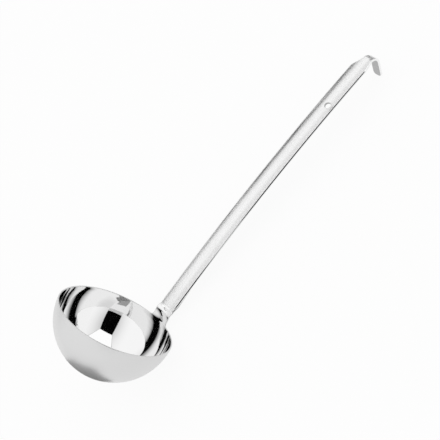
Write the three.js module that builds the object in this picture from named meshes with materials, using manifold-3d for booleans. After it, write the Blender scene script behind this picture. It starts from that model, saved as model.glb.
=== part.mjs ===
// A stainless-steel soup ladle: a drawn bowl with its neck, a pressed handle with a hook, and two plug welds.
// Millimetres. It is worked out in the bowl's own frame: rim centre at the origin, bowl axis +Z, handle
// towards +X. At the end it is laid down on the bowl's wall and the hook's tip, handle along +X, +Z up.
import * as THREE from 'three';
import { mergeVertices } from 'three/addons/utils/BufferGeometryUtils.js';
import Module from 'manifold-3d';

const wasm = await Module();
wasm.setup();

// Bowl and neck.
const RIM_RADIUS = 50; // outside of the bowl, a hemisphere
const BOWL_WALL = 1.2;
const RIM_ROUND = 0.35; // edge radius of the rim
const NECK_WIDTH_LOW = 17.6; // across the neck just above the rim
const NECK_WIDTH_HIGH = 15.6; // across the neck where the handle begins
const NECK_WAIST_UP = 8; // waist of the neck above the rim, from where it steps outwards
const NECK_WAIST_OUT = 0.45; // the waist outside the bowl's inner wall
const NECK_WAIST_LEAN = THREE.MathUtils.degToRad(-5); // there the neck leans a little over the bowl
const NECK_WAIST_RADIUS = 39; // hollow across the neck, at its waist
const NECK_PULLS = [3, 3.9, 3.2, 2.1]; // stiffness of its line at the rim, below and above the waist, at the top
const NECK_FILLET = 3; // hollow corners between neck and rim
const TAB_LENGTH = 32; // tab behind the handle, from the handle's lower end
const TAB_WIDTH_END = 12;

// Handle.
const HANDLE_SHEET = 2;
const HANDLE_WIDTH = 18; // over the two raised edges
const TROUGH_RADIUS = 10.5; // hollow front face of the trough
const HANDLE_STEP = 2.8; // front of the trough's bottom, outside the rim, at the handle's lower end
const HANDLE_UP = 13; // lower end above the rim
const HANDLE_LEAN = THREE.MathUtils.degToRad(14.35); // from the bowl's axis, at the lower end
const BOW_RADIUS = 1810; // the handle bows gently forwards
const HANDLE_LENGTH = 272.5; // along the bow, up to the hook's bend
const HOLE_FROM_END = 220; // hanging hole, from the lower end
const HOLE_DIAMETER = 5.6;
const SHOULDER_LENGTH = 11;
const SHOULDER_TO_BEND = 0.6; // the shoulders end this far below the bend
const FLATTENING = 5; // the trough flattens out over this length of the bend

// Hook.
const TONGUE_WIDTH = 9.2;
const BEND_RADIUS = 5.8; // inside of the bend
const BEND_ANGLE = THREE.MathUtils.degToRad(98);
const TONGUE_LENGTH = 17.9; // straight part with its round corners
const TIP_ROUND = 3.2; // corner radius of the tongue's end

// Lap joint.
const LAP_CLEARANCE = 0.3; // tab to handle
const SCARF_LENGTH = 6; // the handle's lower end is thinned from behind over this length
const SCARF_EDGE = 0.4; // sheet left at the thinned end, so that neck and handle are flush in front
const SCARF_LEAD = 0.5; // the neck reaches the scarf's depth this far below the handle's end
const WELD_DIAMETER = 5;
const WELD_CLEARANCE = 0.3; // around each plug
const WELD_FOOT_GAP = 0.1; // plug to handle
const WELD_CROWN = 0.5; // height of the plug's domed end above the tab
const WELD_EDGE = 10; // upper plug from the tab's end
const WELD_PITCH = 13; // between the plugs

const INNER_RADIUS = RIM_RADIUS - BOWL_WALL;
const HANDLE_OUT = RIM_RADIUS + HANDLE_STEP;
const TAB_FRONT = HANDLE_SHEET + LAP_CLEARANCE; // tab's front face behind the handle's front face
const WELDS = {
  plug_weld_lower: TAB_LENGTH - WELD_EDGE - WELD_PITCH, // from the handle's lower end
  plug_weld_upper: TAB_LENGTH - WELD_EDGE,
};

/** Point of the XZ plane with its lean from +Z: `along` runs up the sheet, `back` away from the bowl. */
function place(x, z, lean) {
  return {
    point: new THREE.Vector3(x, 0, z),
    along: new THREE.Vector3(Math.sin(lean), 0, Math.cos(lean)),
    back: new THREE.Vector3(Math.cos(lean), 0, -Math.sin(lean)),
    lean,
  };
}

/** Bottom of the trough, on the front face, at a length `s` along the bow from the handle's lower end. */
function bow(s) {
  const lean = HANDLE_LEAN + s / BOW_RADIUS;
  const x = HANDLE_OUT + BOW_RADIUS * (Math.cos(HANDLE_LEAN) - Math.cos(lean));
  const z = HANDLE_UP + BOW_RADIUS * (Math.sin(lean) - Math.sin(HANDLE_LEAN));
  return place(x, z, lean);
}

const OUTER_BEND = BEND_RADIUS + HANDLE_SHEET;
const BEND_LENGTH = OUTER_BEND * BEND_ANGLE; // on the front face
const HANDLE_END = HANDLE_LENGTH + BEND_LENGTH + TONGUE_LENGTH;

/** The same line carried on through the hook: the bow, then the bend, then the straight tongue. */
function handleLine(s) {
  if (s <= HANDLE_LENGTH) {
    return bow(s);
  }
  const start = bow(HANDLE_LENGTH);
  const turned = Math.min((s - HANDLE_LENGTH) / OUTER_BEND, BEND_ANGLE);
  const straight = Math.max(s - HANDLE_LENGTH - BEND_LENGTH, 0);
  const lean = start.lean + turned;
  const point = start.point
    .clone()
    .addScaledVector(start.back, OUTER_BEND * (1 - Math.cos(turned)))
    .addScaledVector(start.along, OUTER_BEND * Math.sin(turned));
  const end = place(point.x, point.z, lean);
  end.point.addScaledVector(end.along, straight);
  return end;
}

const steps = (from, to, count) =>
  Array.from({ length: count + 1 }, (_, i) => from + ((to - from) * i) / count);

/**
 * Closed sheet lofted through stations. Each station is a place with the front face's curvature across the
 * sheet (hollow side to the front), half the developed width there, and the sheet's front and rear offsets.
 */
function loftSheet(stations, across) {
  const rows = steps(-1, 1, across);
  const positions = [];
  for (const { point, back, curvature, half, front, rear } of stations) {
    for (const offset of [front, rear]) {
      for (const u of rows) {
        const angle = u * half * curvature;
        const radius = 1 / curvature + offset;
        const p = point.clone().addScaledVector(back, offset - radius * (1 - Math.cos(angle)));
        positions.push(p.x, radius * Math.sin(angle), p.z);
      }
    }
  }
  const width = across + 1;
  const vertex = (station, side, j) => (2 * station + side) * width + j;
  const faces = [];
  const quad = (a, b, c, d) => faces.push(a, b, c, a, c, d);
  for (let i = 0; i + 1 < stations.length; i++) {
    for (let j = 0; j < across; j++) {
      quad(vertex(i, 0, j), vertex(i + 1, 0, j), vertex(i + 1, 0, j + 1), vertex(i, 0, j + 1));
      quad(vertex(i, 1, j), vertex(i, 1, j + 1), vertex(i + 1, 1, j + 1), vertex(i + 1, 1, j));
    }
    quad(vertex(i, 0, 0), vertex(i, 1, 0), vertex(i + 1, 1, 0), vertex(i + 1, 0, 0));
    quad(vertex(i, 0, across), vertex(i + 1, 0, across), vertex(i + 1, 1, across), vertex(i, 1, across));
  }
  const last = stations.length - 1;
  for (let j = 0; j < across; j++) {
    quad(vertex(0, 0, j), vertex(0, 0, j + 1), vertex(0, 1, j + 1), vertex(0, 1, j));
    quad(vertex(last, 0, j), vertex(last, 1, j), vertex(last, 1, j + 1), vertex(last, 0, j + 1));
  }
  const geometry = new THREE.BufferGeometry();
  geometry.setAttribute('position', new THREE.Float32BufferAttribute(positions, 3));
  geometry.setIndex(faces);
  return geometry;
}

/** Manifold solid of a closed three.js geometry, with the flat triangles at a lathe's poles left out. */
function solid(geometry) {
  const bare = new THREE.BufferGeometry();
  bare.setAttribute('position', geometry.getAttribute('position'));
  bare.setIndex(geometry.getIndex());
  const merged = mergeVertices(bare, 1e-4);
  const index = merged.getIndex().array;
  const triangles = [];
  for (let i = 0; i < index.length; i += 3) {
    const [a, b, c] = index.slice(i, i + 3);
    if (a !== b && b !== c && c !== a) {
      triangles.push(a, b, c);
    }
  }
  const mesh = new wasm.Mesh({
    numProp: 3,
    vertProperties: Float32Array.from(merged.getAttribute('position').array),
    triVerts: Uint32Array.from(triangles),
  });
  return new wasm.Manifold(mesh);
}

/** three.js geometry of a manifold solid. */
function surface(manifold) {
  const mesh = manifold.getMesh();
  const geometry = new THREE.BufferGeometry();
  geometry.setAttribute('position', new THREE.Float32BufferAttribute(mesh.vertProperties, 3));
  geometry.setIndex(Array.from(mesh.triVerts));
  geometry.computeVertexNormals();
  return geometry;
}

/**
 * Turned solid about the line that leaves `at.point` along `at.back`, from [radius, distance] pairs.
 * A facet, and not an edge between two, faces each quarter.
 */
function turned(profile, at, segments) {
  const points = profile.map(([radius, distance]) => new THREE.Vector2(radius, distance));
  const geometry = new THREE.LatheGeometry(points, segments, Math.PI / segments);
  const turn = new THREE.Quaternion().setFromUnitVectors(new THREE.Vector3(0, 1, 0), at.back);
  geometry.applyQuaternion(turn);
  geometry.translate(at.point.x, at.point.y, at.point.z);
  return solid(geometry);
}

/** Points of a circular arc in a profile, angles in radians. */
function arc(centreX, centreY, radius, from, to, count) {
  return steps(from, to, count).map((angle) => [
    centreX + radius * Math.cos(angle),
    centreY + radius * Math.sin(angle),
  ]);
}

/** The drawn hemisphere: outside from the pole to the rim, round rim, inside back to the pole. */
function bowlShell() {
  const quarter = Math.PI / 2;
  const rings = 16;
  const edge = Math.asin(RIM_ROUND / (RIM_RADIUS - RIM_ROUND)); // the arcs stop where the round begins
  const outside = arc(0, 0, RIM_RADIUS, -quarter, -edge, rings);
  const outerRound = arc(RIM_RADIUS - RIM_ROUND, -RIM_ROUND, RIM_ROUND, 0.2, quarter, 3);
  const innerRound = arc(INNER_RADIUS + RIM_ROUND, -RIM_ROUND, RIM_ROUND, quarter, Math.PI - 0.2, 3);
  const inside = arc(0, 0, INNER_RADIUS, -edge, -quarter, rings);
  outside[0][0] = 0;
  inside[rings][0] = 0;
  const axis = { point: new THREE.Vector3(), back: new THREE.Vector3(0, 0, 1) };
  return turned([...outside, ...outerRound, ...innerRound, ...inside], axis, 96);
}

/** Back face of the handle behind its front face: thinned to a scarf at the lower end. */
function handleRear(s) {
  return THREE.MathUtils.lerp(SCARF_EDGE, HANDLE_SHEET, THREE.MathUtils.clamp(s / SCARF_LENGTH, 0, 1));
}

/** Front face of the tab behind the handle's front face. */
const tabFront = (s) => handleRear(s) + LAP_CLEARANCE;

/** Smooth line between two places, which leaves and reaches them along the sheet with the given pulls. */
function between(start, startPull, end, endPull) {
  return new THREE.CubicBezierCurve3(
    start.point,
    start.point.clone().addScaledVector(start.along, startPull),
    end.point.clone().addScaledVector(end.along, -endPull),
    end.point,
  );
}

/** Stations of the neck and tab, on the front face: out of the bowl's wall, over the step and up the tab. */
function neckStations() {
  const inset = 0.06; // keeps the root of the neck inside the bowl's wall
  const wallCurve = 1 / INNER_RADIUS;
  const topCurve = 1 / (TROUGH_RADIUS + tabFront(0));
  const waistCurve = 1 / NECK_WAIST_RADIUS;
  const rootHalf = NECK_WIDTH_LOW / 2 + NECK_FILLET;
  const roots = [6, 3, 1].map((degrees) => {
    const angle = THREE.MathUtils.degToRad(degrees);
    const spot = place(INNER_RADIUS * Math.cos(angle), -INNER_RADIUS * Math.sin(angle), angle);
    return { ...spot, curvature: wallCurve, half: rootHalf, front: inset, rear: BOWL_WALL - inset };
  });

  const rim = place(INNER_RADIUS, 0, 0);
  const waist = place(INNER_RADIUS + NECK_WAIST_OUT, NECK_WAIST_UP, NECK_WAIST_LEAN);
  const top = bow(-SCARF_LEAD);
  top.point.addScaledVector(top.back, tabFront(0));
  const highHalf = Math.asin((NECK_WIDTH_HIGH / 2) * topCurve) / topCurve;
  const [rimPull, lowPull, highPull, topPull] = NECK_PULLS;
  const below = between(rim, rimPull, waist, lowPull);
  const above = between(waist, highPull, top, topPull);
  const station = (curve, t, fromCurve, toCurve, climbed) => {
    const point = curve.getPoint(t);
    const tangent = curve.getTangent(t);
    const spot = place(point.x, point.z, Math.atan2(tangent.x, tangent.z));
    const reach = Math.max(NECK_FILLET - point.z, 0);
    const fillet = NECK_FILLET - Math.sqrt(NECK_FILLET ** 2 - reach ** 2);
    const share = THREE.MathUtils.smoothstep(t, 0, 1);
    const half = THREE.MathUtils.lerp(NECK_WIDTH_LOW / 2, highHalf, climbed) + fillet;
    const curvature = THREE.MathUtils.lerp(fromCurve, toCurve, share);
    return { ...spot, curvature, half, front: 0, rear: BOWL_WALL };
  };
  const low = [0, 0.02, 0.06, 0.11, 0.17, 0.25, 0.36, 0.5, 0.65, 0.82];
  const neck = [
    ...low.map((t) => station(below, t, wallCurve, waistCurve, t / 2)),
    ...steps(0, 1, 10).map((t) => station(above, t, waistCurve, topCurve, (1 + t) / 2)),
  ];

  const endRound = TAB_WIDTH_END / 2;
  const tabLengths = [
    ...steps(0, SCARF_LENGTH, 3),
    ...steps(SCARF_LENGTH, TAB_LENGTH - endRound, 5).slice(1),
    ...[0.4, 0.7, 0.88, 0.97, 0.995].map((share) => TAB_LENGTH - endRound + endRound * share),
  ];
  const tab = tabLengths.map((s) => {
    const spot = bow(s);
    spot.point.addScaledVector(spot.back, tabFront(s));
    const taper = THREE.MathUtils.lerp(highHalf, endRound, Math.min(s / (TAB_LENGTH - endRound), 1));
    const past = Math.max(s - (TAB_LENGTH - endRound), 0);
    const half = taper * Math.sqrt(1 - (past / endRound) ** 2);
    const curvature = 1 / (TROUGH_RADIUS + tabFront(s));
    return { ...spot, curvature, half, front: 0, rear: BOWL_WALL };
  });
  return [...roots, ...neck, ...tab];
}

function bowl() {
  let body = bowlShell().add(solid(loftSheet(neckStations(), 14)));
  for (const s of Object.values(WELDS)) {
    const radius = WELD_DIAMETER / 2 + WELD_CLEARANCE;
    const hole = [
      [0, HANDLE_SHEET],
      [radius, HANDLE_SHEET],
      [radius, HANDLE_SHEET + 6],
      [0, HANDLE_SHEET + 6],
    ];
    body = body.subtract(turned(hole, bow(s), 32));
  }
  return body;
}

/** Stations of the handle: the trough, its shoulders, the bend that flattens it, the rounded tongue. */
function handleStations() {
  const troughHalf = TROUGH_RADIUS * Math.asin(HANDLE_WIDTH / 2 / (TROUGH_RADIUS + HANDLE_SHEET));
  const tongueHalf = TONGUE_WIDTH / 2;
  const shoulderEnd = HANDLE_LENGTH - SHOULDER_TO_BEND;
  const shoulderStart = shoulderEnd - SHOULDER_LENGTH;
  const flatEnd = HANDLE_LENGTH + FLATTENING;
  const tipStart = HANDLE_END - TIP_ROUND;
  const nearlyFlat = 1e-7;
  const lengths = [
    ...steps(0, SCARF_LENGTH, 2),
    ...steps(SCARF_LENGTH, shoulderStart, 14).slice(1),
    ...steps(shoulderStart, shoulderEnd, 3).slice(1),
    ...steps(HANDLE_LENGTH, flatEnd, 8),
    ...steps(flatEnd, HANDLE_LENGTH + BEND_LENGTH, 6).slice(1),
    tipStart,
    ...[0.3, 0.55, 0.75, 0.88, 0.96, 1].map((share) => tipStart + TIP_ROUND * share),
  ];
  return lengths.map((s) => {
    const narrowed = THREE.MathUtils.clamp((s - shoulderStart) / SHOULDER_LENGTH, 0, 1);
    const past = THREE.MathUtils.clamp(s - tipStart, 0, TIP_ROUND);
    const corner = TIP_ROUND - Math.sqrt(TIP_ROUND ** 2 - past ** 2);
    const flat = THREE.MathUtils.smoothstep(s, HANDLE_LENGTH, flatEnd);
    return {
      ...handleLine(s),
      curvature: THREE.MathUtils.lerp(1 / TROUGH_RADIUS, nearlyFlat, flat),
      half: THREE.MathUtils.lerp(troughHalf, tongueHalf, narrowed) - corner,
      front: 0,
      rear: handleRear(s),
    };
  });
}

function handle() {
  const radius = HOLE_DIAMETER / 2;
  const cutter = [
    [0, -6],
    [radius, -6],
    [radius, 6],
    [0, 6],
  ];
  return solid(loftSheet(handleStations(), 16)).subtract(turned(cutter, bow(HOLE_FROM_END), 32));
}

/** Weld metal in a hole of the tab: a plug with a low dome on the back. */
function plugWeld(s) {
  const radius = WELD_DIAMETER / 2;
  const foot = HANDLE_SHEET + WELD_FOOT_GAP;
  const shoulder = TAB_FRONT + BOWL_WALL;
  const domeRadius = (radius ** 2 + WELD_CROWN ** 2) / (2 * WELD_CROWN);
  const opening = Math.asin(radius / domeRadius);
  const dome = arc(0, shoulder + WELD_CROWN - domeRadius, domeRadius, Math.PI / 2 - opening, Math.PI / 2, 5);
  dome[5][0] = 0;
  return turned([[0, foot], [radius, foot], ...dome], bow(s), 32);
}

/** Angle below the rim plane at which the bowl's wall and the handle's lowest point share one tangent. */
function lyingAngle(handleGeometry) {
  const position = handleGeometry.getAttribute('position');
  let angle = -Infinity;
  for (let i = 0; i < position.count; i++) {
    const reach = Math.hypot(position.getX(i), position.getZ(i));
    const direction = Math.atan2(position.getZ(i), position.getX(i));
    angle = Math.max(angle, Math.acos(RIM_RADIUS / reach) - direction);
  }
  return angle;
}

const steel = (color, roughness) => new THREE.MeshStandardMaterial({ color, metalness: 1, roughness });

const pieces = {
  bowl: [bowl(), steel(0xd4d4d2, 0.12)],
  handle: [handle(), steel(0xcbcbc9, 0.35)],
};
for (const [name, s] of Object.entries(WELDS)) {
  pieces[name] = [plugWeld(s), steel(0xb9b8b4, 0.45)];
}

const ladle = new THREE.Group();
ladle.name = 'ladle';
for (const [name, [manifold, material]] of Object.entries(pieces)) {
  const mesh = new THREE.Mesh(surface(manifold), material);
  mesh.name = name;
  ladle.add(mesh);
}

const lying = lyingAngle(ladle.getObjectByName('handle').geometry);
const layDown = new THREE.Matrix4().makeBasis(
  new THREE.Vector3(Math.sin(lying), 0, -Math.cos(lying)),
  new THREE.Vector3(0, 1, 0),
  new THREE.Vector3(Math.cos(lying), 0, Math.sin(lying)),
);
for (const mesh of ladle.children) {
  mesh.geometry.applyMatrix4(layDown);
}
const extent = new THREE.Box3().setFromObject(ladle, true);
const centre = extent.getCenter(new THREE.Vector3());
for (const mesh of ladle.children) {
  mesh.geometry.translate(-centre.x, -centre.y, -extent.min.z);
}

export default ladle;
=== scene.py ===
"""Looks of a stainless-steel soup ladle: polished bowl with its neck, brushed handle with a hook, plug welds.

Every surface is worked out in metres in the bowl's own frame: rim centre at the origin, bowl axis +Z, handle
towards +X. At the end it is laid down as the solids are, on the bowl's wall and the hook's tip.
"""
import math

import bpy
import numpy as np
from bpy.props import FloatProperty, FloatVectorProperty, PointerProperty, StringProperty
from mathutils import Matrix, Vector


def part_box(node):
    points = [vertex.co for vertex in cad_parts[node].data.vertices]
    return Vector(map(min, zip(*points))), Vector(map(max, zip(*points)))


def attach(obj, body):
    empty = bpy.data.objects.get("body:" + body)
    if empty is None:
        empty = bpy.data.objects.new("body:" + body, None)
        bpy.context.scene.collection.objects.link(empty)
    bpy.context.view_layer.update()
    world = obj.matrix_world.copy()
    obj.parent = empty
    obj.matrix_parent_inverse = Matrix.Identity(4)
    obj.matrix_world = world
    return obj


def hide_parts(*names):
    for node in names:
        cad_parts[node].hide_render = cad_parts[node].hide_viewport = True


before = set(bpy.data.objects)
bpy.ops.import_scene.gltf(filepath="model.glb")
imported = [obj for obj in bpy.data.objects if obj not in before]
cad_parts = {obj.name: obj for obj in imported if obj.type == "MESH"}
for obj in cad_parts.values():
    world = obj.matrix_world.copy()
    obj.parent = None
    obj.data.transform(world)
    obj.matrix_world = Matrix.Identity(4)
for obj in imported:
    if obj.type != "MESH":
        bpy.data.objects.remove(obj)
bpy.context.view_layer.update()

bl_info = {
    "name": "Soup ladle",
    "version": (1, 0, 0),
    "blender": (4, 5, 0),
    "location": "3D View > Sidebar > Ladle",
    "description": "Builds the bowl, the handle, the plug welds and a light tent around them",
    "category": "Object",
}

BODY = "root"
NEARLY_FLAT = 1e-4  # curvature of flat sheet, per metre, that can still be divided by
STRAP_DEPTH = 0.99  # the strap hangs just inside the opening, as a share of the opening's distance
CARD_LIFT = 0.001  # grey cards above the floor, in metres
# Painted shadow: the grey card at these corners stands in for the bowl's shadow on the floor, seen only in
# the steel.
BOWL_SHADOW_CORNERS = ((-0.36, -0.05), (-0.195, -0.025), (-0.195, 0.055), (-0.36, 0.07))  # corners on the floor
# Painted shadow: the grey mat at these corners stands in for the handle's shadow on the floor, seen only in
# the steel.
HANDLE_SHADOW_CORNERS = ((0.0, 0.05), (0.75, 0.08), (0.45, 0.52), (0.1, 0.3))
SCREEN_HEIGHT = 0.3  # of the grey screen, which stands on the mat's second edge


def length(name, default, description):
    """A length in metres that a user may change."""
    return FloatProperty(name=name, description=description, default=default, unit="LENGTH", precision=5)


def angle(name, degrees, description):
    """An angle that a user may change."""
    return FloatProperty(name=name, description=description, default=math.radians(degrees), subtype="ANGLE")


def colour(name, default, description):
    """An sRGB colour as six hex digits."""
    return StringProperty(name=name, description=description, default=default)


class LadleSizes(bpy.types.PropertyGroup):
    """Sizes of the ladle's sheet pieces."""

    rim_radius: length("Rim radius", 0.05, "Outside of the bowl, a hemisphere")
    bowl_wall: length("Bowl wall", 0.0012, "Sheet of the bowl and its neck")
    rim_round: length("Rim round", 0.00035, "Edge radius of the bowl's sheet")
    neck_width_low: length("Neck width, low", 0.0176, "Across the neck just above the rim")
    neck_width_high: length("Neck width, high", 0.0156, "Across the neck where the handle begins")
    neck_waist_up: length("Waist height", 0.008, "Waist of the neck above the rim, where it steps outwards")
    neck_waist_out: length("Waist place", 0.00045, "The waist outside the bowl's inner wall")
    neck_waist_lean: angle("Waist lean", -5, "There the neck leans a little over the bowl")
    neck_waist_radius: length("Waist hollow", 0.039, "Hollow across the neck, at its waist")
    neck_pulls: FloatVectorProperty(
        name="Neck pulls",
        description="Stiffness of its line at the rim, below and above the waist, at the top",
        default=(0.003, 0.0039, 0.0032, 0.0021), size=4, unit="LENGTH")
    neck_fillet: length("Neck fillet", 0.003, "Hollow corners between neck and rim")
    tab_length: length("Tab length", 0.032, "Tab behind the handle, from the handle's lower end")
    tab_width_end: length("Tab end width", 0.012, "Across the tab at its round end")
    handle_sheet: length("Handle sheet", 0.002, "Thickness of the handle's strip")
    handle_width: length("Handle width", 0.018, "Over the two raised edges")
    trough_radius: length("Trough radius", 0.0105, "Hollow front face of the trough")
    handle_step: length("Handle step", 0.0028, "Trough's bottom outside the rim, at the lower end")
    handle_up: length("Handle height", 0.013, "Lower end above the rim")
    handle_lean: angle("Handle lean", 14.35, "Lean from the bowl's axis at the lower end")
    bow_radius: length("Bow radius", 1.81, "The handle bows gently forwards")
    handle_length: length("Handle length", 0.2725, "Along the bow, up to the hook's bend")
    hole_from_end: length("Hole place", 0.22, "Hanging hole, from the lower end")
    hole_diameter: length("Hole diameter", 0.0056, "Hanging hole")
    shoulder_length: length("Shoulder length", 0.011, "Length over which the strip narrows to the tongue")
    shoulder_to_bend: length("Shoulder end", 0.0006, "The shoulders end this far below the bend")
    flattening: length("Flattening", 0.005, "The trough flattens out over this length of the bend")
    tongue_width: length("Tongue width", 0.0092, "Across the hook's tongue")
    bend_radius: length("Bend radius", 0.0058, "Inside of the hook's bend")
    bend_angle: angle("Bend angle", 98, "Turn of the hook")
    tongue_length: length("Tongue length", 0.0179, "Straight part of the hook")
    tip_round: length("Tip round", 0.0032, "Corner radius of the tongue's end")
    end_round: length("End round", 0.0012, "Corner radius of the handle's lower end")
    edge_round: length("Edge round", 0.00045, "Edge radius of the handle's strip")
    hole_round: length("Hole round", 0.0003, "Edge radius of the hanging hole")
    lap_clearance: length("Lap clearance", 0.0003, "Tab to handle")
    scarf_length: length("Scarf length", 0.006, "The handle's lower end is thinned over this length")
    scarf_edge: length("Scarf edge", 0.0004, "Sheet left at the thinned end, so that the front is flush")
    scarf_lead: length("Scarf lead", 0.0005, "The neck reaches the scarf's depth this far below the handle")
    weld_diameter: length("Weld diameter", 0.005, "Plug weld")
    weld_crown: length("Weld crown", 0.0005, "Height of the weld above the tab")
    weld_foot_gap: length("Weld foot gap", 0.0001, "Weld to the handle's back")
    weld_edge: length("Weld edge", 0.01, "Upper weld from the tab's end")
    weld_pitch: length("Weld pitch", 0.013, "Between the welds")


class LadleFinish(bpy.types.PropertyGroup):
    """Colours of the steel, as it is seen under white light."""

    polished: colour("Polished", "F3F3F3", "Mirror-polished inside of the bowl")
    satin: colour("Satin", "DADADA", "Satin outside of the bowl")
    brushed: colour("Brushed", "F3F3F3", "Brushed front of the handle")
    mill: colour("Mill finish", "B6B6B6", "Back of the handle, as it was rolled")
    weld: colour("Weld", "B4B0A8", "Weld metal")
    straw: colour("Straw tint", "BFA878", "Heat tint on a weld")


class LadleStage(bpy.types.PropertyGroup):
    """Camera, floor and light tent."""

    camera_place: FloatVectorProperty(
        name="Camera place", description="Where the camera stands",
        default=(-0.05535, -0.38183, 0.5354), subtype="TRANSLATION", unit="LENGTH")
    camera_turn: FloatVectorProperty(
        name="Camera turn", description="How the camera is turned",
        default=tuple(math.radians(v) for v in (28.912, 24.883, -43.449)), subtype="EULER", unit="ROTATION")
    camera_lens: FloatProperty(
        name="Camera lens", description="Focal length in millimetres on a 36 mm sensor", default=61.98)
    floor_size: length("Floor size", 6.0, "Side of the floor")
    floor_colour: colour("Floor", "F4F4F4", "Matt white paper")
    floor_white: FloatProperty(
        name="Floor white", description="Share of plain white that the camera and the steel see in the floor",
        default=0.9, subtype="FACTOR", min=0.0, max=1.0)
    tent_light: FloatProperty(name="Tent light", description="Brightness of the tent's cloth", default=1.02)
    tent_far: FloatProperty(name="Tent far side", description="Share of it low on the far side", default=0.8)
    far_side: FloatVectorProperty(
        name="Far side", description="Where that side begins and where it is full, as +Y of the direction",
        default=(0.6, 0.95), size=2)
    opening_distance: length("Opening distance", 2.5, "The tent's dark front opening, from the bowl")
    opening_up: FloatVectorProperty(
        name="Opening up", description="Upright edge of the opening, before it is set square to the camera",
        default=(0.957, 0.277, 0.083), subtype="XYZ")
    opening_colour: colour("Opening", "050505", "Dark room behind the opening")
    opening_side: FloatVectorProperty(
        name="Opening side", description="Left and right edge of the opening, as shares of its distance",
        default=(-0.42, 0.12), size=2)
    opening_reach: FloatVectorProperty(
        name="Opening reach", description="Lower and upper edge of the opening, as shares of its distance",
        default=(-0.6, 0.61), size=2)
    strap_reach: FloatVectorProperty(
        name="Strap reach", description="Lower and upper edge of the cloth strap across the opening",
        default=(-0.34, -0.195), size=2)
    strap_colour: colour("Strap", "D0D0D0", "Cloth strap across the opening")
    surround_reach: FloatVectorProperty(
        name="Surround reach",
        description="From the opening's middle: where its dark surround is full and where it ends",
        default=(0.25, 0.75), size=2)
    surround_squash: FloatProperty(
        name="Surround squash", description="Share at which heights count in that reach", default=0.6)
    surround_shade: FloatVectorProperty(
        name="Surround shade", description="Light lost there, over one reflection and over two or more",
        default=(0.36, 0.95), size=2)
    tent_flap: FloatProperty(
        name="Tent flap", description="Brightness of the flap that runs in from the opening's upper edge",
        default=1.1)
    flap_end: FloatVectorProperty(
        name="Flap end",
        description="Right edge and depth of the flap's inner end, as shares of the opening's distance",
        default=(0.19, 0.2), size=2)
    seam_width: FloatProperty(
        name="Seam width", description="Of the flap's seams, as a share of the opening's distance",
        default=0.014)
    seam_colour: colour("Seam", "C4C4C4", "Seams along the flap")
    # Painted shadow: this grey is the bowl's shadow on the floor, as the steel mirrors it.
    bowl_shadow_colour: colour("Card", "989898", "Grey card on the floor by the bowl")
    screen_colour: colour("Screen", "9A9A9A", "Grey screen beyond the handle")
    # Painted shadow: this grey is the handle's shadow on the floor, as the steel mirrors it.
    handle_shadow_colour: colour("Mat", "B8B8B8", "Grey mat on the floor beyond the handle")


def smooth(low, high, values):
    """0 below low, 1 above high, and the cubic 3t^2 - 2t^3 between them."""
    t = np.clip((values - low) / (high - low), 0.0, 1.0)
    return t * t * (3.0 - 2.0 * t)


def bow_line(size, along):
    """Bottom of the trough at a length along it: an arc of bow_radius that starts with handle_lean."""
    lean = size.handle_lean + along / size.bow_radius
    x = size.rim_radius + size.handle_step + size.bow_radius * (math.cos(size.handle_lean) - np.cos(lean))
    z = size.handle_up + size.bow_radius * (np.sin(lean) - math.sin(size.handle_lean))
    return x, z, lean


def handle_ends(size):
    """Lengths along the handle's front where the bend ends and where the tongue ends."""
    bend_end = size.handle_length + (size.bend_radius + size.handle_sheet) * size.bend_angle
    return bend_end, bend_end + size.tongue_length


def handle_line(size, along):
    """The bow, carried on by an arc round the hook's bend and by the straight tongue."""
    x, z, lean = bow_line(size, np.minimum(along, size.handle_length))
    outer = size.bend_radius + size.handle_sheet
    turned = np.clip((along - size.handle_length) / outer, 0.0, size.bend_angle)
    straight = np.maximum(along - handle_ends(size)[0], 0.0)
    sideways, forwards = outer * (1.0 - np.cos(turned)), outer * np.sin(turned)
    x = x + sideways * np.cos(lean) + forwards * np.sin(lean)
    z = z - sideways * np.sin(lean) + forwards * np.cos(lean)
    lean = lean + turned
    return x + straight * np.sin(lean), z + straight * np.cos(lean), lean


def sheet_points(line, curvature, across, offset):
    """Points of a bent sheet: at a place of its middle line, go `across` round a circle of the given
    curvature that is hollow to the front, and `offset` behind the front face."""
    x, z, lean = line
    turn = across * curvature
    radius = 1.0 / curvature + offset
    depth = offset - radius * (1.0 - np.cos(turn))
    return np.stack(np.broadcast_arrays(
        x + depth * np.cos(lean), radius * np.sin(turn), z - depth * np.sin(lean)), -1)


def lying_angle(size):
    """Angle below the rim plane at which the bowl's wall and the hook's tip share one tangent."""
    x, z, lean = handle_line(size, np.array([handle_ends(size)[1]]))
    offset = np.array([0.0, size.handle_sheet])
    x, z = x + offset * np.cos(lean), z - offset * np.sin(lean)
    return float(np.max(np.arccos(size.rim_radius / np.hypot(x, z)) - np.arctan2(z, x)))


def bowl_centre(size):
    """Rim centre where the ladle lies: a rim radius inside the solid bowl's end, and one above the floor."""
    return np.array([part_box("bowl")[0].x + size.rim_radius, 0.0, size.rim_radius])


def lay_down(size, points):
    """From the bowl's frame to the lying ladle."""
    turn = lying_angle(size)
    x, y, z = points[..., 0], points[..., 1], points[..., 2]
    along = x * math.sin(turn) + z * math.cos(turn)
    height = z * math.sin(turn) - x * math.cos(turn)
    return np.stack([along, y, height], -1) + bowl_centre(size)


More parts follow.
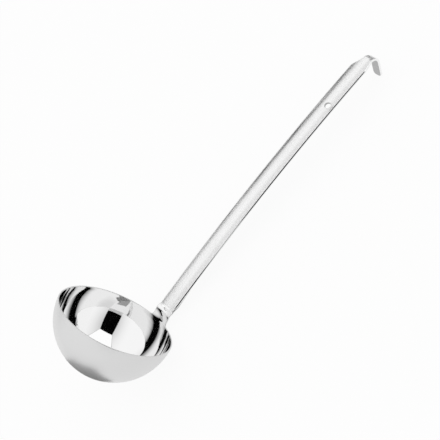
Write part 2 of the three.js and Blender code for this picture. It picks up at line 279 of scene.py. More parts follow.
class Net:
    """Points and faces of one piece, collected patch by patch."""

    def __init__(self):
        self.points = np.zeros((0, 3))
        self.marks = np.zeros((0, 2))
        self.faces = []
        self.finishes = []

    def add(self, points, marks):
        """Adds a grid of points, each with two marks for the materials; returns the grid of their numbers."""
        first = len(self.points)
        self.points = np.concatenate([self.points, points.reshape(-1, 3)])
        marks = np.broadcast_to(marks, points.shape[:-1] + (2,))
        self.marks = np.concatenate([self.marks, marks.reshape(-1, 2)])
        return np.arange(first, len(self.points)).reshape(points.shape[:-1])

    def skin(self, index, finish=0, flip=False, keep=None):
        """Adds the quads of a grid of point numbers; `keep` says which of them stay."""
        quads = np.stack([index[:-1, :-1], index[1:, :-1], index[1:, 1:], index[:-1, 1:]], -1)
        quads = quads.reshape(-1, 4) if keep is None else quads[keep]
        quads = quads[:, ::-1] if flip else quads
        self.faces += quads.tolist()
        self.finishes += [finish] * len(quads)

    def cap(self, ring, point, marks, finish=0, flip=False):
        """Closes a ring of point numbers with triangles to one new point."""
        pole = self.add(np.asarray(point)[None, :], marks)[0]
        ends = (np.roll(ring, -1), ring) if flip else (ring, np.roll(ring, -1))
        fan = np.stack([np.full(len(ring), pole), *ends], -1)
        self.faces += fan.tolist()
        self.finishes += [finish] * len(fan)

    def round_edge(self, front, back, radius, finish=0, steps=5):
        """Joins two loops of point numbers, the sheet's front and back edge, by a cut edge with round
        corners. The loop runs with the sheet on its left, seen from the front. The edge stands out by
        `radius`; where the sheet is thin its corners become elliptic, so that they don't meet."""
        start, end = self.points[front], self.points[back]
        through = end - start
        middle = (start + end) / 2.0
        run = np.roll(middle, -1, 0) - np.roll(middle, 1, 0)
        out = np.cross(through, run)
        out /= np.linalg.norm(out, axis=1, keepdims=True)
        thickness = np.linalg.norm(through, axis=1, keepdims=True)
        deep = through / thickness * np.minimum(radius, 0.45 * thickness)
        turn = np.linspace(0.0, math.pi / 2.0, steps + 1)[1:, None, None]
        front_round = start + (1.0 - np.cos(turn)) * deep + radius * np.sin(turn) * out
        back_round = end - (1.0 - np.cos(turn)) * deep + radius * np.sin(turn) * out
        rows = self.add(np.concatenate([front_round, back_round[::-1]]), self.marks[front])
        rows = np.concatenate([front[None, :], rows, back[None, :]])
        self.skin(np.concatenate([rows, rows[:, :1]], 1), finish)

    def make(self, name, size, materials):
        """Makes the mesh object where the ladle lies. The marks become a UV map in metres; the second of
        them, the length along the sheet, also becomes the attribute "climb"."""
        mesh = bpy.data.meshes.new(name)
        mesh.from_pydata(lay_down(size, self.points).tolist(), [], self.faces)
        corners = np.zeros(len(mesh.loops), np.int32)
        mesh.loops.foreach_get("vertex_index", corners)
        mesh.uv_layers.new(name="sheet").data.foreach_set("uv", self.marks[corners].ravel())
        mesh.attributes.new("climb", "FLOAT", "POINT").data.foreach_set("value", self.marks[:, 1])
        mesh.polygons.foreach_set("material_index", np.array(self.finishes, np.int32))
        mesh.polygons.foreach_set("use_smooth", np.ones(len(mesh.polygons), bool))
        for material in materials:
            mesh.materials.append(material)
        mesh.update()
        mesh.validate()
        piece = bpy.data.objects.new(name, mesh)
        bpy.context.scene.collection.objects.link(piece)
        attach(piece, BODY)
        return piece


def with_margins(inner, count, margin):
    """Fractions from -1 to 1: even between -inner and inner, with one more close to each end."""
    return np.concatenate([[-1.0, -1.0 + margin], np.linspace(-inner, inner, count), [1.0 - margin, 1.0]])


def handle_rear(size, along):
    """Back face of the handle behind its front face: straight from scarf_edge to the full sheet."""
    share = np.clip(along / size.scarf_length, 0.0, 1.0)
    return size.scarf_edge + (size.handle_sheet - size.scarf_edge) * share


def tab_line(size, along):
    """Front face of the tab, one clearance behind the handle's back: middle line, and curvature across it."""
    behind = handle_rear(size, np.maximum(along, 0.0)) + size.lap_clearance
    x, z, lean = bow_line(size, along)
    return (x + behind * np.cos(lean), z - behind * np.sin(lean), lean), 1.0 / (size.trough_radius + behind)


def bezier(start, start_pull, end, end_pull, t):
    """Cubic Bezier from place to place, each (x, z, lean); the pulls lie along the sheet at both ends."""
    knots = np.array([
        start[:2],
        (start[0] + start_pull * math.sin(start[2]), start[1] + start_pull * math.cos(start[2])),
        (end[0] - end_pull * math.sin(end[2]), end[1] - end_pull * math.cos(end[2])),
        end[:2],
    ])
    weights = np.stack([(1 - t) ** 3, 3 * t * (1 - t) ** 2, 3 * t**2 * (1 - t), t**3], -1)
    slopes = np.stack([(1 - t) ** 2, 2 * t * (1 - t), t**2], -1)
    x, z = (weights @ knots).T
    slope_x, slope_z = (slopes @ np.diff(knots, axis=0)).T
    return np.stack([x, z, np.arctan2(slope_x, slope_z)])


def neck_stations(size):
    """Middle line, curvature, half width and length travelled of the neck and its tab. The neck is two
    Beziers: from the inner rim, upright there, to its waist, and on to the tab. Its corners at the rim are
    quarter rounds. The tab follows the handle's back and tapers to a round end."""
    inner = size.rim_radius - size.bowl_wall
    waist = (inner + size.neck_waist_out, size.neck_waist_up, size.neck_waist_lean)
    top, top_curve = tab_line(size, -size.scarf_lead)
    high_half = math.asin(size.neck_width_high / 2.0 * top_curve) / top_curve
    rim_pull, low_pull, high_pull, top_pull = size.neck_pulls
    low = np.linspace(0.0, 1.0, 37) ** 1.5
    high = np.linspace(0.0, 1.0, 29)[1:]
    neck = np.concatenate([
        bezier((inner, 0.0, 0.0), rim_pull, waist, low_pull, low),
        bezier(waist, high_pull, top, top_pull, high),
    ], 1)
    waist_curve = 1.0 / size.neck_waist_radius
    neck_curve = np.concatenate([
        1.0 / inner + (waist_curve - 1.0 / inner) * smooth(0.0, 1.0, low),
        waist_curve + (top_curve - waist_curve) * smooth(0.0, 1.0, high),
    ])
    climbed = np.concatenate([low / 2.0, (1.0 + high) / 2.0])
    fillet = size.neck_fillet + size.rim_round
    reach = np.clip(size.neck_fillet - neck[1], 0.0, fillet)
    neck_half = size.neck_width_low / 2.0 * (1 - climbed) + high_half * climbed - size.rim_round
    neck_half = neck_half + fillet - np.sqrt(fillet**2 - reach**2)

    end_round = size.tab_width_end / 2.0 - size.rim_round
    taper_end = size.tab_length - size.tab_width_end / 2.0
    last_turn = math.radians(86.0)  # short of a right angle, so that the last row keeps some width
    turn = np.linspace(0.0, last_turn, 14)[1:]
    along = np.concatenate([
        np.linspace(0.0, size.scarf_length, 13),
        np.linspace(size.scarf_length, taper_end, 25)[1:],
        taper_end + end_round * np.sin(turn),
    ])
    tab, tab_curve = tab_line(size, along)
    taper = np.clip(along / taper_end, 0.0, 1.0)
    past = np.clip(along - taper_end, 0.0, end_round)
    tab_half = (high_half - size.rim_round) * (1 - taper) + end_round * taper
    tab_half = tab_half * np.sqrt(1.0 - (past / end_round) ** 2)

    line = np.concatenate([neck, np.stack(tab)], 1)
    curvature = np.concatenate([neck_curve, tab_curve])
    half = np.concatenate([neck_half, tab_half])
    travelled = np.append(0.0, np.cumsum(np.hypot(np.diff(line[0]), np.diff(line[1]))))
    return line[:, :, None], curvature[:, None], half[:, None], travelled[:, None]


def bowl_net(size):
    """One sheet: a hemisphere, polar grid from the pole to the rim, whose rim runs on as the neck between two
    columns. Inside and outside are the same grid, one wall apart, joined by a round edge all along the
    outline."""
    net = Net()
    inner = size.rim_radius - size.bowl_wall
    across = with_margins(0.97, 37, 0.012)
    root = (size.neck_width_low / 2.0 + size.neck_fillet) / inner
    others = np.linspace(root, 2.0 * math.pi - root, 262)[1:-1]
    around = np.concatenate([across * root, others])
    line, curvature, half, travelled = neck_stations(size)
    edges = []
    for radius, offset, finish, flip in ((inner, 0.0, 0, False), (size.rim_radius, size.bowl_wall, 1, True)):
        top = math.asin(size.rim_round / radius)
        climb = np.append(np.linspace(0.0, 1.0, 74)[1:], 1.0 - 0.0025)
        rise = (np.sort(climb) * (math.pi / 2.0 - top))[:, None]
        shell = radius * np.stack(np.broadcast_arrays(
            np.sin(rise) * np.cos(around), np.sin(rise) * np.sin(around), -np.cos(rise)), -1)
        marks = np.stack(np.broadcast_arrays(radius * around, radius * rise), -1)
        rings = net.add(shell, marks)
        net.skin(np.concatenate([rings, rings[:, :1]], 1), finish, flip)
        net.cap(rings[0], (0.0, 0.0, -radius), (0.0, 0.0), finish, flip)
        reach = half * across
        neck = net.add(
            sheet_points(line, curvature, reach, offset),
            np.stack(np.broadcast_arrays(reach, travelled + radius * math.pi / 2.0), -1))
        columns = len(across)
        neck = np.concatenate([rings[-1:, :columns], neck])
        net.skin(neck, finish, flip)
        edges.append(np.concatenate([
            rings[-1, columns - 1:], rings[-1, :1], neck[1:, 0], neck[-1, 1:], neck[-2:0:-1, -1]]))
    net.round_edge(edges[0], edges[1], size.rim_round, 1)
    return net


def handle_curvature(size, along):
    """The trough's curvature, which fades to nothing in the hook's bend."""
    flat = smooth(size.handle_length, size.handle_length + size.flattening, along)
    return (1.0 - flat) / size.trough_radius + flat * NEARLY_FLAT


def handle_half(size, along):
    """Half the developed width of the front face: the trough, straight shoulders with eased corners, the
    tongue, and quarter rounds at both ends; all of it inside the cut edge's corner radius."""
    outside = size.trough_radius + size.handle_sheet
    trough = size.trough_radius * math.asin(size.handle_width / 2.0 / outside)
    shoulder_end = size.handle_length - size.shoulder_to_bend
    narrowed = (along - shoulder_end) / size.shoulder_length + 1.0
    ease = 0.08  # easing of the shoulders' corners, as a share of their length
    narrowed = 0.5 * (np.sqrt(narrowed**2 + ease**2) - np.sqrt((narrowed - 1.0) ** 2 + ease**2) + 1.0)
    half = trough * (1.0 - narrowed) + size.tongue_width / 2.0 * narrowed - size.edge_round
    tip = size.tip_round - size.edge_round
    past_tip = np.clip(along - (handle_ends(size)[1] - size.tip_round), 0.0, tip)
    low = size.end_round - size.edge_round
    past_low = np.clip(size.end_round - along, 0.0, low)
    return half - (tip - np.sqrt(tip**2 - past_tip**2)) - (low - np.sqrt(low**2 - past_low**2))


def handle_points(size, along, across, offset):
    """Points of the handle at developed lengths along and across its front face."""
    return sheet_points(handle_line(size, along), handle_curvature(size, along), across, offset)


def handle_net(size):
    """One sheet: a grid along and across the strip, with a square window round the hanging hole. The window
    is filled by rings that go over from the square to the circle; round edges close the outline and the
    hole."""
    net = Net()
    across = with_margins(0.95, 39, 0.02)
    window = np.nonzero(np.abs(across) < 0.501)[0]
    left, right = window[0], window[-1]
    reach = float(handle_half(size, np.array(size.hole_from_end))) * abs(across[left])
    bend_end, tip_end = handle_ends(size)
    fine_rows = 1.3 * size.shoulder_length  # from just before the shoulders, where their corners ease in
    shoulder_start = size.handle_length - size.shoulder_to_bend - fine_rows
    flat_end = size.handle_length + size.flattening
    corner = np.sin(np.linspace(0.0, math.pi / 2.0, 9))
    low = size.end_round - size.edge_round
    tip = size.tip_round - size.edge_round
    along = np.concatenate([
        size.end_round - low * corner[::-1],
        np.linspace(size.end_round, size.scarf_length, 9)[1:],
        np.linspace(size.scarf_length, size.hole_from_end - reach, 86)[1:],
        np.linspace(size.hole_from_end - reach, size.hole_from_end + reach, len(window))[1:],
        np.linspace(size.hole_from_end + reach, shoulder_start, 20)[1:],
        np.linspace(shoulder_start, size.handle_length, 41)[1:],
        np.linspace(size.handle_length, flat_end, 25)[1:],
        np.linspace(flat_end, bend_end, 33)[1:],
        np.linspace(bend_end, tip_end - size.tip_round, 19)[1:],
        tip_end - size.tip_round + tip * corner[1:],
    ])
    bottom = int(np.argmin(np.abs(along - (size.hole_from_end - reach))))
    top = bottom + len(window) - 1
    keep = np.ones((len(along) - 1, len(across) - 1), bool)
    keep[bottom:top, left:right] = False
    grid_across = across * handle_half(size, along[:, None])
    grid_along = np.broadcast_to(along[:, None], grid_across.shape)
    marks = np.stack([grid_across, grid_along], -1)
    outlines, holes = [], []
    sides = ((0.0, 0.0, 0, False), (size.handle_sheet, handle_rear(size, grid_along), 1, True))
    for offset, rear, finish, flip in sides:
        grid = net.add(handle_points(size, grid_along, grid_across, rear), marks)
        net.skin(grid, finish, flip, keep)
        outlines.append(np.concatenate([grid[:, 0], grid[-1, 1:], grid[-2::-1, -1], grid[0, -2:0:-1]]))
        frame_loop = np.concatenate([
            grid[top:bottom:-1, left], grid[bottom, left:right],
            grid[bottom:top, right], grid[top, right:left:-1]])
        square = net.marks[frame_loop] - (0.0, size.hole_from_end)
        radius = size.hole_diameter / 2.0 + size.hole_round
        circle = radius * square / np.linalg.norm(square, axis=1, keepdims=True)
        circle[:, 0] = size.trough_radius * np.arcsin(circle[:, 0] / (size.trough_radius + offset))
        share = np.array([0.3, 0.55, 0.78, 0.93, 1.0])[:, None, None]
        rings = square + share * (circle - square) + (0.0, size.hole_from_end)
        rings = net.add(handle_points(size, rings[..., 1], rings[..., 0], offset), rings)
        rows = np.concatenate([frame_loop[None, :], rings])
        net.skin(np.concatenate([rows, rows[:, :1]], 1), finish, flip)
        holes.append(rings[-1])
    net.round_edge(outlines[0], outlines[1], size.edge_round, 2)
    net.round_edge(holes[0], holes[1], size.hole_round, 1, steps=3)
    return net


def weld_places(size):
    """Length along the handle of each plug weld, by the name of its solid."""
    upper = size.tab_length - size.weld_edge
    return {"plug_weld_lower": upper - size.weld_pitch, "plug_weld_upper": upper}


def weld_net(size, place):
    """A plug of weld metal: polar grid on the tab's back. Its height is the crown times 1 - (r / R)^2, with
    faint rings from the turning arc; its wall goes down through the tab to the handle."""
    net = Net()
    radius = size.weld_diameter / 2.0
    back = size.handle_sheet + size.lap_clearance + size.bowl_wall
    share = np.concatenate([np.linspace(0.0, 1.0, 25)[1:], [1.0, 1.0]])[:, None]
    turn = np.linspace(0.0, 2.0 * math.pi, 97)[:-1]
    wobble = 1.0 + 0.015 * np.sin(3.0 * turn + 0.7) + 0.01 * np.sin(7.0 * turn)
    rings = 0.05 * np.sin(share * 26.0) * share * (1.0 - share)
    height = size.weld_crown * (1.0 - share**2 + rings)
    height[-2:, 0] = (-0.3 * size.bowl_wall, size.handle_sheet + size.weld_foot_gap - back)
    along = place + radius * share * wobble * np.cos(turn)
    across = radius * share * wobble * np.sin(turn)
    curvature = 1.0 / size.trough_radius
    on_front = across * size.trough_radius / (size.trough_radius + back)
    points = sheet_points(bow_line(size, along), curvature, on_front, back + height)
    marks = np.stack([across, along], -1)
    grid = net.add(points, marks)
    net.skin(np.concatenate([grid, grid[:, :1]], 1), 0, True)
    for ring, centre_height, flip in ((grid[0], size.weld_crown, True), (grid[-1], height[-1, 0], False)):
        centre = sheet_points(bow_line(size, np.array(place)), curvature, 0.0, back + centre_height)
        net.cap(ring, centre, (0.0, place), 0, flip)
    return net


def linear(hex_digits):
    """sRGB hex colour to linear RGBA."""
    srgb = np.array([int(hex_digits[i:i + 2], 16) / 255.0 for i in (0, 2, 4)])
    rgb = np.where(srgb <= 0.04045, srgb / 12.92, ((srgb + 0.055) / 1.055) ** 2.4)
    return (*rgb.tolist(), 1.0)


def add_node(tree, kind, settings=None, sockets=None):
    """Adds a node. Settings are its own values; a socket takes a value, or a link where the value is an
    output."""
    node = tree.nodes.new(kind)
    for name, value in (settings or {}).items():
        setattr(node, name, value)
    for name, value in (sockets or {}).items():
        if isinstance(value, bpy.types.NodeSocket):
            tree.links.new(value, node.inputs[name])
        else:
            node.inputs[name].default_value = value
    return node


def new_material(name):
    """An empty node material: its tree and its output node."""
    material = bpy.data.materials.new(name)
    material.use_nodes = True
    material.node_tree.nodes.clear()
    return material, add_node(material.node_tree, "ShaderNodeOutputMaterial")


def steel(tree, output, base, sockets):
    """Joins a metal shader of one base colour to the material's output."""
    shader = add_node(tree, "ShaderNodeBsdfPrincipled", None, {
        "Base Color": base, "Metallic": 1.0, **sockets})
    tree.links.new(shader.outputs["BSDF"], output.inputs["Surface"])


def polished_stainless(finish):
    """Drawn, spun and mirror-polished stainless steel: sharp reflections in the middle of the bowl. Near the
    rim the mop left shallow rings about 3 mm apart and soft dents about 7 mm across, which fray the edges of
    what is mirrored there into streaks. The neck is almost free of them."""
    material, output = new_material("mirror_polished_stainless")
    tree = material.node_tree
    place = add_node(tree, "ShaderNodeTexCoord").outputs["Object"]
    climb = add_node(tree, "ShaderNodeAttribute", {"attribute_name": "climb"}).outputs["Fac"]
    near_rim = add_node(tree, "ShaderNodeMapRange", {"interpolation_type": "SMOOTHSTEP"}, {
        "Value": climb, "From Min": 0.05, "From Max": 0.07, "To Min": 0.05, "To Max": 1.0})
    below_neck = add_node(tree, "ShaderNodeMapRange", {"interpolation_type": "SMOOTHSTEP"}, {
        "Value": climb, "From Min": 0.0755, "From Max": 0.079, "To Min": 1.0, "To Max": 0.1})
    wander = add_node(tree, "ShaderNodeTexNoise", None, {"Vector": place, "Scale": 1 / 0.015, "Detail": 1.0})
    ring = add_node(tree, "ShaderNodeMath", {"operation": "MULTIPLY_ADD"}, {
        0: wander.outputs["Fac"], 1: 0.006, 2: climb})
    wave = add_node(tree, "ShaderNodeTexNoise", {"noise_dimensions": "1D"}, {
        "W": ring.outputs["Value"], "Scale": 1 / 0.003, "Detail": 1.0})
    dents = add_node(tree, "ShaderNodeTexNoise", None, {"Vector": place, "Scale": 1 / 0.007, "Detail": 0.0})
    height = add_node(tree, "ShaderNodeMath", {"operation": "MULTIPLY_ADD"}, {
        0: dents.outputs["Fac"], 1: 4.0, 2: wave.outputs["Fac"]})
    height = add_node(tree, "ShaderNodeMath", {"operation": "MULTIPLY"}, {
        0: height.outputs["Value"], 1: near_rim.outputs["Result"]})
    height = add_node(tree, "ShaderNodeMath", {"operation": "MULTIPLY"}, {
        0: height.outputs["Value"], 1: below_neck.outputs["Result"]})
    bump = add_node(tree, "ShaderNodeBump", None, {
        "Height": height.outputs["Value"], "Strength": 1.0, "Distance": 0.000015})
    steel(tree, output, linear(finish.polished), {"Roughness": 0.035, "Normal": bump.outputs["Normal"]})
    return material


def satin_stainless(finish):
    """Spun and satin-finished stainless steel: soft, even reflections, a little cloudy from the abrasive."""
    material, output = new_material("satin_stainless")
    tree = material.node_tree
    place = add_node(tree, "ShaderNodeTexCoord").outputs["Object"]
    cloud = add_node(tree, "ShaderNodeTexNoise", None, {"Vector": place, "Scale": 1 / 0.02, "Detail": 3.0})
    rough = add_node(tree, "ShaderNodeMapRange", None, {
        "Value": cloud.outputs["Fac"], "From Min": 0.3, "From Max": 0.7, "To Min": 0.3, "To Max": 0.36})
    steel(tree, output, linear(finish.satin), {"Roughness": rough.outputs["Result"]})
    return material


def brushed_stainless(finish):
    """Stainless strip brushed along its length: reflections spread across the strip, fine lines along it. The
    lines are drawn 0.3 mm apart, coarser than the grit, so that they show."""
    material, output = new_material("brushed_stainless")
    tree = material.node_tree
    sheet = add_node(tree, "ShaderNodeUVMap", {"uv_map": "sheet"}).outputs["UV"]
    stretch = add_node(tree, "ShaderNodeMapping", None, {
        "Vector": sheet, "Scale": (1 / 0.0003, 1 / 0.04, 1.0)})
    line = add_node(tree, "ShaderNodeTexNoise", {"noise_dimensions": "2D"}, {
        "Vector": stretch.outputs["Vector"], "Scale": 1.0, "Detail": 3.0, "Roughness": 0.6})
    rough = add_node(tree, "ShaderNodeMapRange", None, {
        "Value": line.outputs["Fac"], "From Min": 0.3, "From Max": 0.7, "To Min": 0.2, "To Max": 0.55})
    bump = add_node(tree, "ShaderNodeBump", None, {
        "Height": line.outputs["Fac"], "Strength": 0.2, "Distance": 0.00002})
    steel(tree, output, linear(finish.brushed), {
        "Roughness": rough.outputs["Result"], "Normal": bump.outputs["Normal"]})
    return material


def edge_stainless(finish):
    """Sheared edges of the strip, rounded and polished on a belt: they mirror the opening as a dark line."""
    material, output = new_material("belt_polished_stainless")
    steel(material.node_tree, output, linear(finish.polished), {"Roughness": 0.1})
    return material


def mill_stainless(finish):
    """Stainless sheet as it came from the rolling mill: grey and dull, with a fine grain."""
    material, output = new_material("mill_finish_stainless")
    tree = material.node_tree
    place = add_node(tree, "ShaderNodeTexCoord").outputs["Object"]
    grain = add_node(tree, "ShaderNodeTexNoise", None, {"Vector": place, "Scale": 1 / 0.001, "Detail": 2.0})
    rough = add_node(tree, "ShaderNodeMapRange", None, {
        "Value": grain.outputs["Fac"], "From Min": 0.3, "From Max": 0.7, "To Min": 0.36, "To Max": 0.44})
    steel(tree, output, linear(finish.mill), {"Roughness": rough.outputs["Result"]})
    return material


def weld_steel(finish):
    """Stainless weld metal as it froze: dull, faintly rippled, tinted straw by the heat."""
    material, output = new_material("stainless_weld_metal")
    tree = material.node_tree
    place = add_node(tree, "ShaderNodeTexCoord").outputs["Object"]
    grain = add_node(tree, "ShaderNodeTexNoise", None, {"Vector": place, "Scale": 1 / 0.0007, "Detail": 4.0})
    tint = add_node(tree, "ShaderNodeMix", {"data_type": "RGBA"}, {
        "Factor": grain.outputs["Fac"], 6: linear(finish.weld), 7: linear(finish.straw)})
    bump = add_node(tree, "ShaderNodeBump", None, {
        "Height": grain.outputs["Fac"], "Strength": 0.5, "Distance": 0.0001})
    steel(tree, output, tint.outputs[2], {"Roughness": 0.42, "Normal": bump.outputs["Normal"]})
    return material


def plain_material(name, hex_digits):
    """Matt stage material of one colour."""
    material, output = new_material(name)
    shader = add_node(material.node_tree, "ShaderNodeBsdfDiffuse", None, {"Color": linear(hex_digits)})
    material.node_tree.links.new(shader.outputs["BSDF"], output.inputs["Surface"])
    return material


def lit_cloth(name, strength):
    """White cloth with the light behind it."""
    material, output = new_material(name)
    glow = add_node(material.node_tree, "ShaderNodeEmission", None, {
        "Color": (1.0, 1.0, 1.0, 1.0), "Strength": strength})
    material.node_tree.links.new(glow.outputs["Emission"], output.inputs["Surface"])
    return material


def white_floor(stage):
    """Matt white paper. The camera and the steel see a good share of it as plain white, so that only a faint
    shadow is left on it."""
    material, output = new_material("matt_white_paper")
    tree = material.node_tree
    paper = add_node(tree, "ShaderNodeBsdfDiffuse", None, {"Color": linear(stage.floor_colour)})
    white = add_node(tree, "ShaderNodeEmission", None, {"Color": (1.0, 1.0, 1.0, 1.0)})
    ray = add_node(tree, "ShaderNodeLightPath")
    seen = add_node(tree, "ShaderNodeMath", {"operation": "MAXIMUM"}, {
        0: ray.outputs["Is Camera Ray"], 1: ray.outputs["Is Glossy Ray"]})
    share = add_node(tree, "ShaderNodeMath", {"operation": "MULTIPLY"}, {
        0: seen.outputs["Value"], 1: stage.floor_white})
    mix = add_node(tree, "ShaderNodeMixShader", None, {
        "Fac": share.outputs["Value"], 1: paper.outputs["BSDF"], 2: white.outputs["Emission"]})
    tree.links.new(mix.outputs["Shader"], output.inputs["Surface"])
    return material


def stage_card(name, corners, material):
    """A flat four-cornered card that belongs to the stage."""
    mesh = bpy.data.meshes.new(name)
    mesh.from_pydata([tuple(corner) for corner in corners], [], [(0, 1, 2, 3)])
    mesh.materials.append(material)
    card = bpy.data.objects.new(name, mesh)
    bpy.context.scene.collection.objects.link(card)
    return card


def mirror_card(name, corners, material):
    """A card that is seen in the steel alone: it isn't in the picture and takes no light away."""
    card = stage_card(name, corners, material)
    card.visible_camera = False
    card.visible_diffuse = False
    card.visible_shadow = False


class TentFront:
    """Plane of the tent's front, square to the line from the bowl to the camera."""

    def __init__(self, sizes, stage):
        self.centre = bowl_centre(sizes)
        self.distance = stage.opening_distance
        towards = np.array(stage.camera_place) - self.centre
        self.towards = towards / np.linalg.norm(towards)
        up = np.array(stage.opening_up)
        up = up - self.towards * (up @ self.towards)
        self.up = up / np.linalg.norm(up)
        self.side = np.cross(self.towards, self.up)

    def point(self, h, v, depth=1.0):
        """Point at shares of the front's distance: sideways, upwards and from the bowl."""
        return self.centre + self.distance * (depth * self.towards + h * self.side + v * self.up)

    def patch(self, sides, reach, depth=1.0):
        """Corners of an upright patch between two sides and two heights."""
        left, right = sides
        low, high = reach
        corners = ((left, low), (right, low), (right, high), (left, high))
        return [self.point(h, v, depth) for h, v in corners]


def tent_cards(stage, front):
    """The tent's dark opening with a strap across it, and a lit flap between two seams that runs from the
    opening's upper edge towards the bowl."""
    dark = plain_material("dark_room", stage.opening_colour)
    mirror_card("dark_opening", front.patch(stage.opening_side, stage.opening_reach), dark)
    strap = plain_material("grey_strap", stage.strap_colour)
    mirror_card("tent_strap", front.patch(stage.opening_side, stage.strap_reach, STRAP_DEPTH), strap)

    left, right = stage.opening_side
    high = stage.opening_reach[1]
    flap_right, flap_depth = stage.flap_end
    left_edge = (front.point(left, high), front.point(left, high, flap_depth))
    right_edge = (front.point(right, high), front.point(flap_right, high, flap_depth))
    flap = [left_edge[0], right_edge[0], right_edge[1], left_edge[1]]
    mirror_card("tent_flap", flap, lit_cloth("flap_cloth", stage.tent_flap))
    seam = plain_material("tent_seam", stage.seam_colour)
    width = stage.seam_width * front.distance * front.side
    for name, (outer, inner), outwards in (("left", left_edge, -width), ("right", right_edge, width)):
        corners = [outer, outer + outwards, inner + outwards, inner]
        mirror_card(f"tent_seam_{name}", corners, seam)


def painted_shadows_and_screen(stage):
    """Grey things around the ladle that the steel alone sees: a card by the bowl and a mat beyond the handle,
    which are painted shadows of the bowl and the handle on the floor, and a screen that stands on the mat's
    second edge. They give the steel its grey tones."""
    # Painted shadow of the bowl on the floor, seen only in the steel.
    card = [(x, y, CARD_LIFT) for x, y in BOWL_SHADOW_CORNERS]
    mirror_card("painted_shadow_by_bowl", card, plain_material("painted_bowl_shadow", stage.bowl_shadow_colour))
    near, far = HANDLE_SHADOW_CORNERS[1:3]
    screen = [(*near, 0.0), (*far, 0.0), (*far, SCREEN_HEIGHT), (*near, SCREEN_HEIGHT)]
    mirror_card("grey_card_by_hook", screen, plain_material("grey_screen", stage.screen_colour))
    # Painted shadow of the handle on the floor, seen only in the steel.
    mat = [(x, y, CARD_LIFT) for x, y in HANDLE_SHADOW_CORNERS]
    mirror_card("painted_shadow_by_handle", mat, plain_material("painted_handle_shadow", stage.handle_shadow_colour))


def tent_world(stage, front):
    """The tent's white cloth as the world's light. It is dimmer on the far side, and round the opening it is
    multiplied by 1 - shade * t^2, where t falls evenly from 1 to 0 over surround_reach. Seen over two or
    more reflections that surround is almost black. Real cloth looks the same over any number of them; the
    darker shade is there because it gives the dark bands below the rim their width."""
    world = bpy.data.worlds.new("light_tent")
    world.use_nodes = True
    tree = world.node_tree
    tree.nodes.clear()
    direction = add_node(tree, "ShaderNodeTexCoord").outputs["Generated"]
    parts = add_node(tree, "ShaderNodeSeparateXYZ", None, {"Vector": direction})
    strength = add_node(tree, "ShaderNodeMapRange", {"interpolation_type": "SMOOTHSTEP"}, {
        "Value": parts.outputs["Y"], "From Min": stage.far_side[0], "From Max": stage.far_side[1],
        "To Min": stage.tent_light, "To Max": stage.tent_light * stage.tent_far})

    left, right = stage.opening_side
    above_strap = (stage.strap_reach[1] + stage.opening_reach[1]) / 2.0
    middle = front.point((left + right) / 2.0, above_strap) - front.centre
    offset = add_node(tree, "ShaderNodeVectorMath", {"operation": "SUBTRACT"}, {
        0: direction, 1: tuple(middle / np.linalg.norm(middle))})
    across = add_node(tree, "ShaderNodeVectorMath", {"operation": "DOT_PRODUCT"}, {
        0: offset.outputs["Vector"], 1: tuple(front.side)})
    along = add_node(tree, "ShaderNodeVectorMath", {"operation": "DOT_PRODUCT"}, {
        0: offset.outputs["Vector"], 1: tuple(stage.surround_squash * front.up)})
    away = add_node(tree, "ShaderNodeCombineXYZ", None, {
        "X": across.outputs["Value"], "Y": along.outputs["Value"]})
    away = add_node(tree, "ShaderNodeVectorMath", {"operation": "LENGTH"}, {0: away.outputs["Vector"]})
    full, end = stage.surround_reach
    nearness = add_node(tree, "ShaderNodeMapRange", None, {
        "Value": away.outputs["Value"], "From Min": full, "From Max": end, "To Min": 1.0, "To Max": 0.0})
    nearness = add_node(tree, "ShaderNodeMath", {"operation": "POWER"}, {
        0: nearness.outputs["Result"], 1: 2.0})

    once, more = stage.surround_shade
    bounces = add_node(tree, "ShaderNodeLightPath").outputs["Glossy Depth"]
    depth = add_node(tree, "ShaderNodeMapRange", None, {
        "Value": bounces, "From Min": 1.0, "From Max": 2.0, "To Min": -once, "To Max": -more})
    shade = add_node(tree, "ShaderNodeMath", {"operation": "MULTIPLY_ADD"}, {
        0: nearness.outputs["Value"], 1: depth.outputs["Result"], 2: 1.0})
    shaded = add_node(tree, "ShaderNodeMath", {"operation": "MULTIPLY"}, {
        0: strength.outputs["Result"], 1: shade.outputs["Value"]})
    cloth = add_node(tree, "ShaderNodeBackground", None, {
        "Color": (1.0, 1.0, 1.0, 1.0), "Strength": shaded.outputs["Value"]})
    add_node(tree, "ShaderNodeOutputWorld", None, {"Surface": cloth.outputs["Background"]})
    return world


def add_camera(scene, stage):
    """The camera, at the place and turn that were fitted to the ladle's outline."""
    camera_data = bpy.data.cameras.new("camera")
    camera_data.lens = stage.camera_lens
    camera_data.sensor_width = 36.0
    camera = bpy.data.objects.new("camera", camera_data)
    camera.location = stage.camera_place
    camera.rotation_euler = stage.camera_turn
    scene.collection.objects.link(camera)
    scene.camera = camera


class LADLE_OT_bowl(bpy.types.Operator):
    """Builds the bowl with its neck and tab"""

    bl_idname = "ladle.bowl"
    bl_label = "Bowl"

    def execute(self, context):
        scene = context.scene
        materials = [polished_stainless(scene.ladle_finish), satin_stainless(scene.ladle_finish)]
        piece = bowl_net(scene.ladle_sizes).make("polished_bowl", scene.ladle_sizes, materials)
        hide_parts("bowl")
        return {"FINISHED"}


class LADLE_OT_handle(bpy.types.Operator):
    """Builds the handle with its hanging hole and hook"""

    bl_idname = "ladle.handle"
    bl_label = "Handle"

    def execute(self, context):
        scene = context.scene
        finishes = (brushed_stainless, mill_stainless, edge_stainless)
        materials = [make(scene.ladle_finish) for make in finishes]
        piece = handle_net(scene.ladle_sizes).make("brushed_handle", scene.ladle_sizes, materials)
        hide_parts("handle")
        return {"FINISHED"}


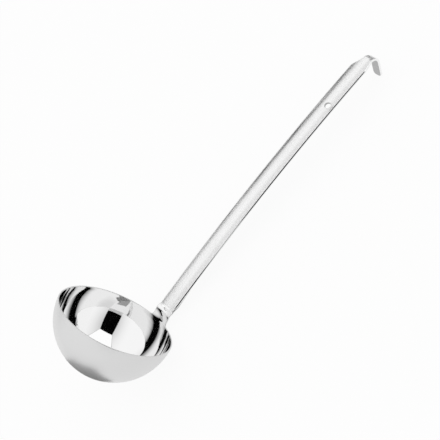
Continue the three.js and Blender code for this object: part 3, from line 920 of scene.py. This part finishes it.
class LADLE_OT_welds(bpy.types.Operator):
    """Builds the plug welds on the back of the tab"""

    bl_idname = "ladle.welds"
    bl_label = "Plug welds"

    def execute(self, context):
        scene = context.scene
        material = weld_steel(scene.ladle_finish)
        for node, place in weld_places(scene.ladle_sizes).items():
            piece = weld_net(scene.ladle_sizes, place).make(f"{node}_bead", scene.ladle_sizes, [material])
            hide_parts(node)
        return {"FINISHED"}


class LADLE_OT_stage(bpy.types.Operator):
    """Sets up the floor, the light tent with its dark front opening, and the camera"""

    bl_idname = "ladle.stage"
    bl_label = "Stage"

    def execute(self, context):
        scene = context.scene
        stage = scene.ladle_stage
        half = stage.floor_size / 2.0
        floor = [(-half, -half, 0), (half, -half, 0), (half, half, 0), (-half, half, 0)]
        stage_card("floor", floor, white_floor(stage))
        add_camera(scene, stage)
        front = TentFront(scene.ladle_sizes, stage)
        tent_cards(stage, front)
        painted_shadows_and_screen(stage)
        scene.world = tent_world(stage, front)
        scene.view_settings.view_transform = "Standard"
        return {"FINISHED"}


class LADLE_PT_tools(bpy.types.Panel):
    """Lists the ladle's pieces, sizes and finishes"""

    bl_idname = "LADLE_PT_tools"
    bl_label = "Soup ladle"
    bl_space_type = "VIEW_3D"
    bl_region_type = "UI"
    bl_category = "Ladle"

    def draw(self, context):
        for operator in OPERATORS:
            self.layout.operator(operator.bl_idname)
        for group in (context.scene.ladle_sizes, context.scene.ladle_finish, context.scene.ladle_stage):
            box = self.layout.box()
            for name in group.__annotations__:
                box.prop(group, name)


GROUPS = {"ladle_sizes": LadleSizes, "ladle_finish": LadleFinish, "ladle_stage": LadleStage}
OPERATORS = (LADLE_OT_bowl, LADLE_OT_handle, LADLE_OT_welds, LADLE_OT_stage)


def register():
    for cls in (*GROUPS.values(), *OPERATORS, LADLE_PT_tools):
        bpy.utils.register_class(cls)
    for name, group in GROUPS.items():
        setattr(bpy.types.Scene, name, PointerProperty(type=group))


def unregister():
    for name in GROUPS:
        delattr(bpy.types.Scene, name)
    for cls in (LADLE_PT_tools, *reversed(OPERATORS), *reversed(tuple(GROUPS.values()))):
        bpy.utils.unregister_class(cls)


def main():
    register()
    bpy.ops.ladle.bowl()
    bpy.ops.ladle.handle()
    bpy.ops.ladle.welds()
    bpy.ops.ladle.stage()


if __name__ == "__main__":
    main()
